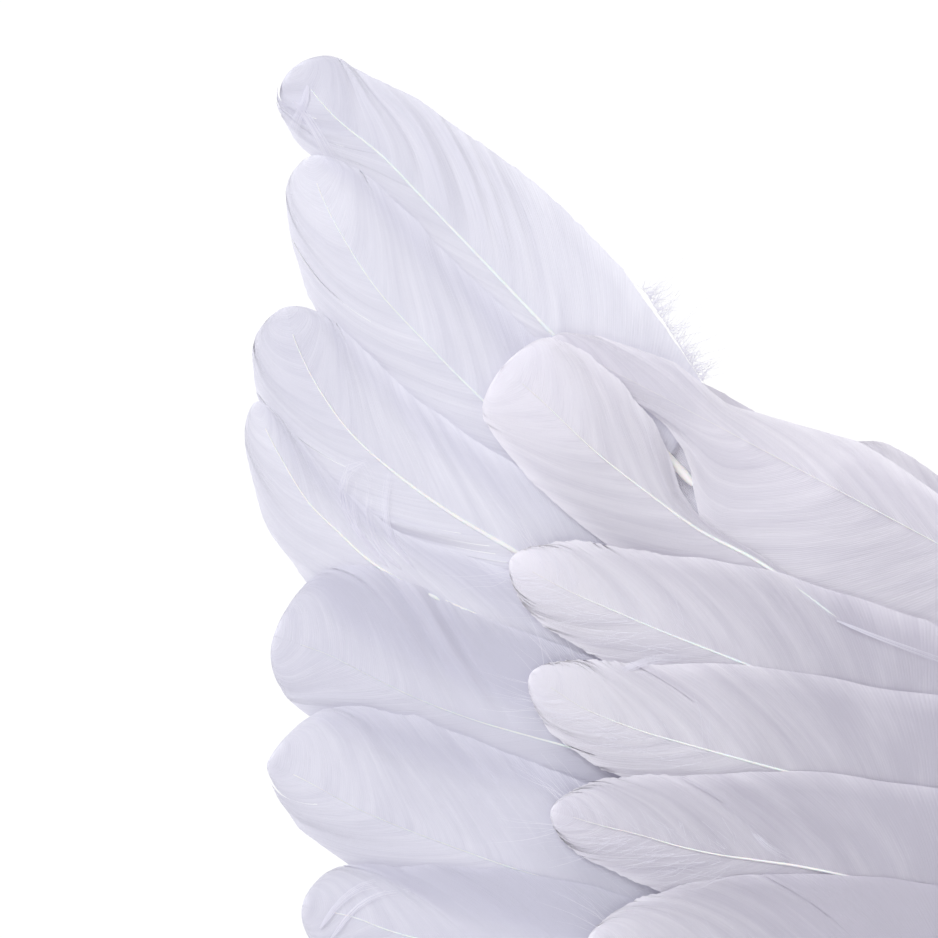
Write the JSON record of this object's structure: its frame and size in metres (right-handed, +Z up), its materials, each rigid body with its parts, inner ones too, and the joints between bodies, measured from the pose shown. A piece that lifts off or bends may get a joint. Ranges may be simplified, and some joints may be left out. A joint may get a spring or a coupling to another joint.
{
  "type": "costume wings",
  "caption": "Feathered costume wings that fold behind the wearer on sleeves on a padded back panel, with elastic arm loops.",
  "frame": {"origin": "centre of the back pad's face that rests on the wearer's back", "axes": "+X across the wings, +Y out of the pad's face towards the wearer, +Z up"},
  "size_m": [0.696, 0.1599, 0.5425],
  "materials": {
    "feather": "matt goose feather",
    "plume": "downy goose feather",
    "foam_pad": "brushed knit over foam",
    "board": "matt",
    "cover_cloth": "felt",
    "tape": "woven tape",
    "rivet": "nickel plated",
    "sleeve": "moulded white",
    "anchor": "moulded white",
    "yoke": "moulded white",
    "frame_wire": "galvanised",
    "crimp": "satin",
    "wing_cloth": "felt",
    "elastic": "woven elastic"
  },
  "bodies": {
    "back_panel": {"back_pad": "foam_pad", "back_board": "board", "front_cover": "cover_cloth", "panel_binding": "tape", "sleeve_rivets": "rivet", "centre_plume": "plume", "left_upper_sleeve": "sleeve", "left_upper_anchor": "anchor", "left_lower_sleeve": "sleeve", "left_lower_anchor": "anchor", "right_upper_sleeve": "sleeve", "right_upper_anchor": "anchor", "right_lower_sleeve": "sleeve", "right_lower_anchor": "anchor"},
    "left_wing": {"left_frame_wire": "frame_wire", "left_wire_ferrule": "crimp", "left_wire_collars": "crimp", "left_strut_joints": "crimp", "left_strut_wire": "frame_wire", "left_front_cloth": "wing_cloth", "left_rear_cloth": "wing_cloth", "left_primaries": "feather", "left_coverts": "feather", "left_lesser_coverts": "feather", "left_marginals": "feather", "left_rear_coverts": "feather", "left_rear_marginals": "feather"},
    "left_arm_loop": {"left_strap": "elastic", "left_upper_yoke": "yoke", "left_lower_yoke": "yoke"},
    "right_wing": {"right_frame_wire": "frame_wire", "right_wire_ferrule": "crimp", "right_wire_collars": "crimp", "right_strut_joints": "crimp", "right_strut_wire": "frame_wire", "right_front_cloth": "wing_cloth", "right_rear_cloth": "wing_cloth", "right_primaries": "feather", "right_coverts": "feather", "right_lesser_coverts": "feather", "right_marginals": "feather", "right_rear_coverts": "feather", "right_rear_marginals": "feather"},
    "right_arm_loop": {"right_strap": "elastic", "right_upper_yoke": "yoke", "right_lower_yoke": "yoke"}
  },
  "joints": [
    {"name": "left_wing_fold", "type": "hinge", "parent": "back_panel", "child": "left_wing", "pos_m": [-0.03, -0.02, 0], "axis": [0, 0, 1], "range_deg": [-10, 80]},
    {"name": "left_loop_swing", "type": "hinge", "parent": "back_panel", "child": "left_arm_loop", "pos_m": [-0.02, -0.0046, 0], "axis": [0, 0, 1], "range_deg": [-10, 35]},
    {"name": "right_wing_fold", "type": "hinge", "parent": "back_panel", "child": "right_wing", "pos_m": [0.03, -0.02, 0], "axis": [0, 0, -1], "range_deg": [-10, 80]},
    {"name": "right_loop_swing", "type": "hinge", "parent": "back_panel", "child": "right_arm_loop", "pos_m": [0.02, -0.0046, 0], "axis": [0, 0, -1], "range_deg": [-10, 35]}
  ]
}
